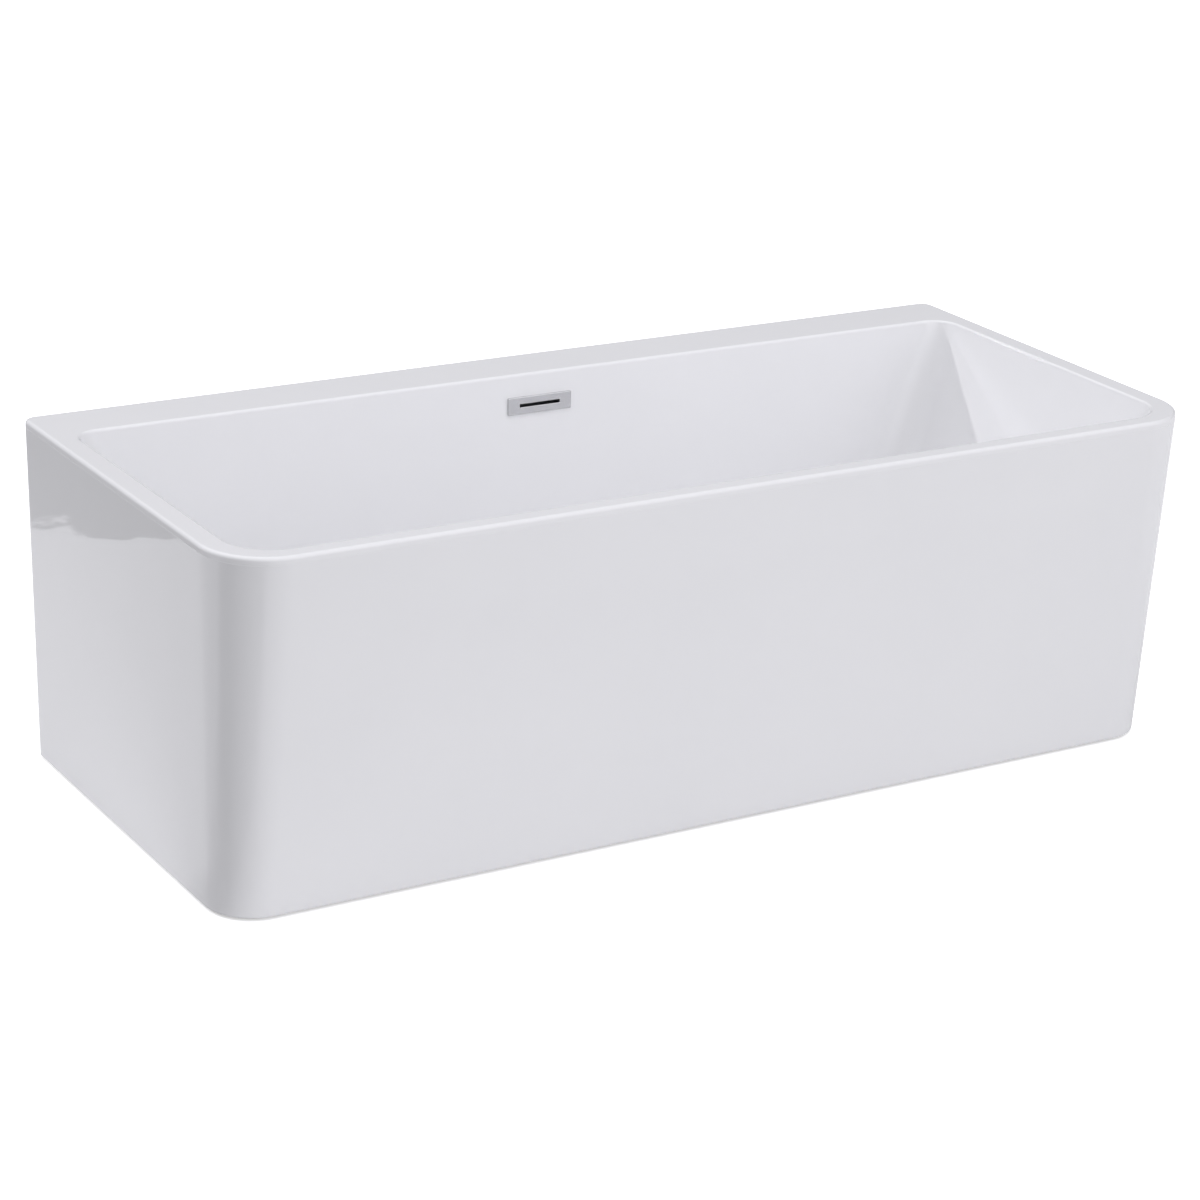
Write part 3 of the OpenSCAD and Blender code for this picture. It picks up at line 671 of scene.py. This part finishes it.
def moulded_material(name, dark, light, roughness):
    """Moulded plastic with a fine spark-eroded texture."""
    material, tree, shader = new_material(name, roughness)
    vector = place(tree)
    tint = ramp(tree, noise(tree, vector, 60.0), [(0.3, dark), (0.7, light)])
    tree.links.new(tint, shader.inputs["Base Color"])
    grain = noise(tree, vector, 1400.0, 2.0)
    tree.links.new(spread(tree, grain, roughness - 0.08, roughness + 0.1), shader.inputs["Roughness"])
    bump(tree, shader, grain, 0.00006, 0.6)
    return material


def beyond_line(tree, vector, facing, distance, blur):
    """1 past a line across the floor, at a distance from the origin along facing, and 0 before it."""
    along = add(tree, "ShaderNodeVectorMath", operation="DOT_PRODUCT")
    along.inputs[1].default_value = (*facing, 0)
    tree.links.new(vector, along.inputs[0])
    edge = add(tree, "ShaderNodeMapRange", interpolation_type="SMOOTHSTEP")
    edge.inputs["From Min"].default_value = distance - blur
    edge.inputs["From Max"].default_value = distance + blur
    tree.links.new(along.outputs["Value"], edge.inputs["Value"])
    return edge.outputs["Result"]


def combined(tree, operation, a, b):
    """Two values joined by an operation."""
    node = add(tree, "ShaderNodeMath", operation=operation)
    tree.links.new(a, node.inputs[0])
    tree.links.new(b, node.inputs[1])
    return node.outputs["Value"]


def ragged(tree, vector):
    """The floor's coordinates, shaken a little so that an edge drawn on them is ragged."""
    shake = add(tree, "ShaderNodeVectorMath", operation="MULTIPLY_ADD")
    fine = add(tree, "ShaderNodeTexNoise", Scale=8.0, Detail=6.0, Roughness=0.62)
    tree.links.new(vector, fine.inputs["Vector"])
    tree.links.new(fine.outputs["Color"], shake.inputs[0])
    shake.inputs[1].default_value = (RAGGEDNESS, RAGGEDNESS, 0)
    tree.links.new(vector, shake.inputs[2])
    return shake.outputs["Vector"]


def mixed(tree, share, first, second):
    """One colour fading to another by a share; each is a socket or a fixed grey."""
    node = add(tree, "ShaderNodeMix", data_type="RGBA")
    tree.links.new(share, node.inputs["Factor"])
    for key, colour in (("A", first), ("B", second)):
        if isinstance(colour, float):
            node.inputs[key].default_value = (colour, colour, colour, 1)
        else:
            tree.links.new(colour, node.inputs[key])
    return node.outputs["Result"]


def floor_material():
    """Pale floor that looks white, but bounces less light and is dull in two places that it reflects."""
    material, tree, shader = new_material("studio floor", 0.7)
    vector = place(tree)
    pale = ramp(tree, noise(tree, vector, 1.5), [(0.3, (0.93, 0.93, 0.935)), (0.7, (0.95, 0.95, 0.955))])
    path = add(tree, "ShaderNodeLightPath")
    shaken = ragged(tree, vector)
    dull = None
    for lines in DULL_FLOOR:
        patch = combined(tree, "MULTIPLY", *[beyond_line(tree, shaken, *line) for line in lines])
        dull = patch if dull is None else combined(tree, "MAXIMUM", dull, patch)
    bounce = mixed(tree, path.outputs["Is Diffuse Ray"], pale, FLOOR_BOUNCE)
    seen = mixed(tree, dull, bounce, FLOOR_DULL)
    tree.links.new(mixed(tree, path.outputs["Is Camera Ray"], seen, pale), shader.inputs["Base Color"])
    shader.inputs["Emission Color"].default_value = (1, 1, 1, 1)
    glow = spread(tree, path.outputs["Is Camera Ray"], 0, FLOOR_GLOW)
    tree.links.new(glow, shader.inputs["Emission Strength"])
    return material


# ---- Studio ----

FLOOR_GLOW = 0.5
FLOOR_BOUNCE = 0.62
SKY_BASE = 0.15
# Soft lobes of the studio, in front, overhead and behind on the left: direction, brightness, and the
# half-angles where each fades in and is full
SKY_LOBES = [
    ((0.12, -0.88, 0.44), 1.2, 66, 5),
    ((-0.15, 0.1, 1.0), 0.92, 65, 10),
    ((-0.6, 0.75, 0.3), 0.25, 45, 10),
]
SKY_TINT = (0.99, 0.986, 1.02)
# Small distant lamps behind the bath: direction and brightness
BACK_LIGHTS = [((-0.55, 0.665, 0.5), 0.7), ((-0.55, 0.76, 0.36), 0.2)]
BACK_LIGHT_ANGLE = 1.5
# Dull places on the floor, each past two lines: facing, distance from the origin and blur, in metres.
# One lies behind the left end, which reflects it; the other keeps light off the front left corner.
DULL_FLOOR = [
    [((-0.653, 0.757), 1.835, 0.004), ((-0.856, 0.517), 1.74, 0.01)],
    [((-0.1, -0.995), 0.125, 0.1), ((-0.958, 0.287), 0.62, 0.1)],
]
FLOOR_DULL = 0.1
RAGGEDNESS = 0.3
# The floor runs this far from the origin, in metres
FLOOR_REACH = 40


def back_light(toward, power):
    """A small distant lamp, which casts the deck edge's shadow into the basin."""
    light = bpy.data.lights.new("back light", "SUN")
    light.energy = power
    light.angle = math.radians(BACK_LIGHT_ANGLE)
    light.color = SKY_TINT
    lamp = bpy.data.objects.new("back light", light)
    bpy.context.scene.collection.objects.link(lamp)
    lamp.rotation_euler = Vector(toward).to_track_quat("Z", "Y").to_euler()


def make_sky():
    """A pale surround, brightest in front, softer overhead and faint behind on the left."""
    world = bpy.data.worlds.new("studio")
    world.use_nodes = True
    tree = world.node_tree
    direction = add(tree, "ShaderNodeTexCoord").outputs["Generated"]
    total = None
    for toward, brightness, outer, inner in SKY_LOBES:
        facing = add(tree, "ShaderNodeVectorMath", operation="DOT_PRODUCT")
        facing.inputs[1].default_value = Vector(toward).normalized()
        tree.links.new(direction, facing.inputs[0])
        lobe = add(tree, "ShaderNodeMapRange", interpolation_type="SMOOTHSTEP")
        lobe.inputs["From Min"].default_value = math.cos(math.radians(outer))
        lobe.inputs["From Max"].default_value = math.cos(math.radians(inner))
        lobe.inputs["To Max"].default_value = brightness
        tree.links.new(facing.outputs["Value"], lobe.inputs["Value"])
        step = add(tree, "ShaderNodeMath", operation="ADD")
        step.inputs[0].default_value = SKY_BASE
        if total is not None:
            tree.links.new(total, step.inputs[0])
        tree.links.new(lobe.outputs["Result"], step.inputs[1])
        total = step.outputs["Value"]
    tree.links.new(total, tree.nodes["Background"].inputs["Strength"])
    tree.nodes["Background"].inputs["Color"].default_value = (*SKY_TINT, 1)
    bpy.context.scene.world = world


def make_studio():
    """Pale floor, soft surround and the small lamps behind."""
    bpy.context.scene.view_settings.view_transform = "Standard"
    reach = FLOOR_REACH / MM
    floor = build("floor", [(-reach, -reach, 0), (reach, -reach, 0), (reach, reach, 0), (-reach, reach, 0)],
                  [(0, 1, 2, 3)])
    floor.data.materials.append(floor_material())
    make_sky()
    for toward, power in BACK_LIGHTS:
        back_light(toward, power)


def make_camera():
    """The camera's place and turn, solved from the bath's outline in the reference view."""
    stand, lens = Vector((-2.6614, -4.3045, 2.0970)), 101.5
    yaw, pitch, roll = 0.54828, 0.34939, 0.03686
    forward = Vector((math.sin(yaw) * math.cos(pitch), math.cos(yaw) * math.cos(pitch), -math.sin(pitch)))
    level = Vector((math.cos(yaw), -math.sin(yaw), 0))
    raised = level.cross(forward)
    right = level * math.cos(roll) + raised * math.sin(roll)
    up = raised * math.cos(roll) - level * math.sin(roll)
    camera = bpy.data.cameras.new("camera")
    camera.sensor_width = 36
    camera.lens = lens
    holder = bpy.data.objects.new("camera", camera)
    bpy.context.scene.collection.objects.link(holder)
    turn = Matrix((right, up, -forward)).transposed().to_4x4()
    holder.matrix_world = Matrix.Translation(stand) @ turn
    bpy.context.scene.camera = holder


# ---- The model ----

make_camera()
make_studio()

MATERIALS = {
    "white_acrylic": acrylic_material(),
    "galvanised_steel": steel_material(),
    "zinc_fasteners": zinc_material(),
    "chrome": chrome_material(),
    "fibreboard": board_material(),
    "timber": timber_material(),
    "black_plastic": moulded_material("black plastic", (0.018, 0.018, 0.02), (0.03, 0.03, 0.033), 0.5),
    "rubber_seal": moulded_material("seal rubber", (0.014, 0.014, 0.015), (0.026, 0.026, 0.028), 0.75),
    "grey_pipe": moulded_material("grey plastic", (0.36, 0.37, 0.39), (0.43, 0.44, 0.46), 0.4),
}

for part in frame["record"]["subparts"]:
    thing = frame["nodes"][part["node"]]
    thing.data.materials.clear()
    thing.data.materials.append(MATERIALS[part["material_slot"]])

basin = make_basin(MATERIALS["white_acrylic"], backing_material())
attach(basin, "bath")
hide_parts("inner_shell")

skirt = make_skirt(MATERIALS["white_acrylic"])
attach(skirt, "bath")
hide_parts("outer_skirt")

cover = make_cover(MATERIALS["chrome"])
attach(cover, "bath")
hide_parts("overflow_cover")

plug_top = make_plug_cap(MATERIALS["chrome"])
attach(plug_top, "plug")
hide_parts("plug_cap")

for foot in FEET:
    pad = make_pad(foot + "_moulded_pad", foot + "_pad", MATERIALS["black_plastic"])
    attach(pad, foot + "_pad")
    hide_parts(foot + "_pad")
    stud = make_stud(foot + "_threaded_stud", foot + "_stud", MATERIALS["zinc_fasteners"])
    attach(stud, foot + "_stud")
    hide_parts(foot + "_stud")
